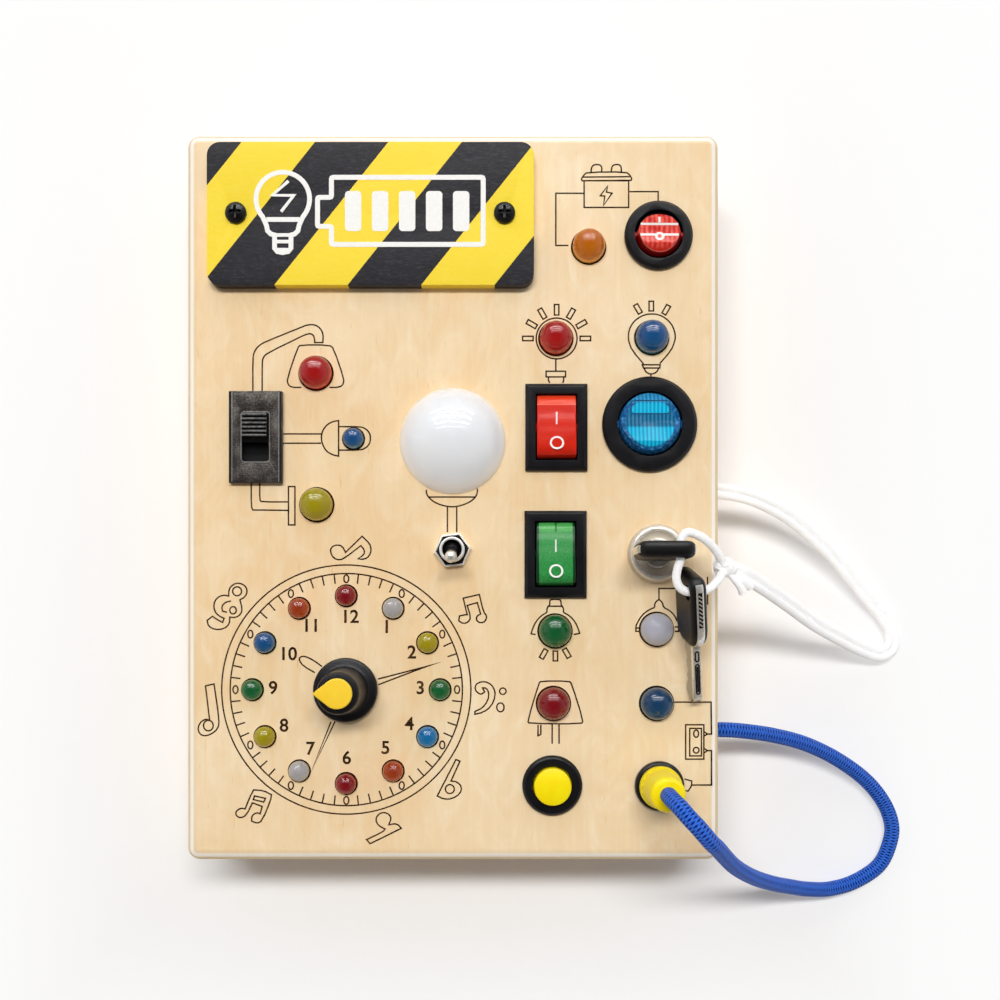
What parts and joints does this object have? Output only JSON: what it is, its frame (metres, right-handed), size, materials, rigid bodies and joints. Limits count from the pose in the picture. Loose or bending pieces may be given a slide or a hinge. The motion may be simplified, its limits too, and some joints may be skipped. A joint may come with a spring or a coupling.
{
  "type": "wooden busy board",
  "caption": "Wooden busy board: a shallow plywood box with rocker, slide, toggle, key and rotary switches, coloured lamps, a clock dial, a push button and a corded plug.",
  "frame": {"origin": "middle of the back face, on the surface the board lies on", "axes": "+X to the right of the front face, +Y up the board, +Z out of the front face"},
  "size_m": [0.1873, 0.1957, 0.0656],
  "materials": {
    "plywood": "satin birch plywood, clear coated",
    "pine": "raw softwood",
    "steel_screw": "zinc plated",
    "black_screw": "black oxide",
    "sign_print": "printed yellow and black hazard stripes",
    "opal": "opal white diffuser",
    "white_plastic": "moulded white",
    "circuit": "green solder mask",
    "switch_case": "dark moulded switch body",
    "nickel": "bright nickel plate",
    "steel": "brushed",
    "spring_steel": "bright spring wire",
    "smoked_metal": "speckled dark zinc",
    "black_plastic": "moulded black, half gloss",
    "red_plastic": "gloss red",
    "green_plastic": "translucent green",
    "ruby_plastic": "translucent dark red",
    "blue_plastic": "translucent blue",
    "yellow_plastic": "gloss yellow",
    "brass": "bright brass",
    "lamp_red": "tinted clear resin",
    "lamp_blue": "tinted clear resin",
    "lamp_green": "tinted clear resin",
    "lamp_amber": "tinted clear resin",
    "lamp_mixed": "tinted clear resin in several colours",
    "case_plastic": "moulded black",
    "cell_metal": "wrapped cell",
    "wire_rubber": "insulated wire",
    "blue_braid": "woven elastic cord",
    "white_cord": "waxed cotton cord"
  },
  "bodies": {
    "root": {"front_panel": "plywood", "left_rail": "plywood", "right_rail": "plywood", "top_rail": "plywood", "bottom_rail": "plywood", "back_panel": "plywood", "corner_blocks": "pine", "back_screws": "steel_screw", "sign_screws": "black_screw", "sign_plate": "sign_print", "lamp_dome": "opal", "lamp_holder": "white_plastic", "lamp_board": "circuit", "clock_board": "circuit", "toggle_body": "switch_case", "rotary_switch": "switch_case", "toggle_nut": "nickel", "panel_nuts": "nickel", "lock_body": "nickel", "button_spring": "spring_steel", "battery_contacts": "spring_steel", "slide_cover": "smoked_metal", "slide_body": "black_plastic", "red_rocker_housing": "black_plastic", "green_rocker_housing": "black_plastic", "power_rocker_housing": "black_plastic", "blue_rocker_housing": "black_plastic", "button_body": "black_plastic", "jack_socket": "black_plastic", "jack_nut": "black_plastic", "switch_terminals": "brass", "red_leds": "lamp_red", "blue_leds": "lamp_blue", "green_leds": "lamp_green", "amber_and_clear_leds": "lamp_amber", "clock_leds": "lamp_mixed", "battery_case": "case_plastic", "battery_cover": "case_plastic", "batteries": "cell_metal", "wires": "wire_rubber", "blue_cord": "blue_braid", "lanyard": "white_cord"},
    "red_rocker": {"red_rocker": "red_plastic"},
    "green_rocker": {"green_rocker": "green_plastic"},
    "power_rocker": {"power_rocker": "ruby_plastic"},
    "blue_rocker": {"blue_rocker": "blue_plastic"},
    "toggle": {"toggle_lever": "nickel"},
    "slider": {"slide_knob": "black_plastic"},
    "button": {"button_cap": "yellow_plastic"},
    "knob": {"rotary_shaft": "nickel", "knob_body": "black_plastic", "knob_cap": "yellow_plastic"},
    "lock_core": {"lock_cylinder": "steel"},
    "key": {"key_blade": "steel", "key_bow": "black_plastic", "lanyard_loop": "white_cord"},
    "spare_key": {"spare_key_blade": "steel", "spare_key_bow": "black_plastic"},
    "plug": {"plug_pin": "nickel", "plug_shell": "yellow_plastic"}
  },
  "joints": [
    {"name": "red_rock", "type": "hinge", "parent": "root", "child": "red_rocker", "pos_m": [0.0256, 0.0171, 0.036], "axis": [1, 0, 0], "range_deg": [0, 20]},
    {"name": "green_rock", "type": "hinge", "parent": "root", "child": "green_rocker", "pos_m": [0.0254, -0.0142, 0.036], "axis": [1, 0, 0], "range_deg": [0, 20]},
    {"name": "power_rock", "type": "hinge", "parent": "root", "child": "power_rocker", "pos_m": [0.0508, 0.0645, 0.036], "axis": [1, 0, 0], "range_deg": [0, 20]},
    {"name": "blue_rock", "type": "hinge", "parent": "root", "child": "blue_rocker", "pos_m": [0.0486, 0.0179, 0.036], "axis": [1, 0, 0], "range_deg": [0, 20]},
    {"name": "toggle_tilt", "type": "hinge", "parent": "root", "child": "toggle", "pos_m": [0, -0.0132, 0.0384], "axis": [1, 0, 0], "range_deg": [-25, 0]},
    {"name": "slide_travel", "type": "slide", "parent": "root", "child": "slider", "axis": [0, -1, 0], "range_m": [0, 0.0057]},
    {"name": "button_press", "type": "slide", "parent": "root", "child": "button", "axis": [0, 0, -1], "range_m": [0, 0.0025], "stiffness_N_per_m": 200, "springref_m": -0.002, "deforming": ["button_spring"]},
    {"name": "knob_turn", "type": "hinge", "parent": "root", "child": "knob", "pos_m": [-0.0263, -0.0476, 0.036], "axis": [0, 0, 1], "range_deg": [-90, 240]},
    {"name": "key_turn", "type": "hinge", "parent": "root", "child": "lock_core", "pos_m": [0.0505, -0.014, 0.036], "axis": [0, 0, 1], "range_deg": [0, 90], "deforming": ["lanyard"]},
    {"name": "key_pull", "type": "slide", "parent": "lock_core", "child": "key", "axis": [0, 0, 1], "range_m": [0, 0.017], "deforming": ["lanyard_loop"]},
    {"name": "spare_key_swing", "type": "hinge", "parent": "key", "child": "spare_key", "pos_m": [0.05753, -0.02479, 0.0519], "axis": [0.9783, 0.1462, -0.147], "range_deg": [-60, 0]},
    {"name": "plug_pull", "type": "slide", "parent": "root", "child": "plug", "axis": [0, 0, 1], "range_m": [0, 0.017], "deforming": ["blue_cord"]}
  ]
}
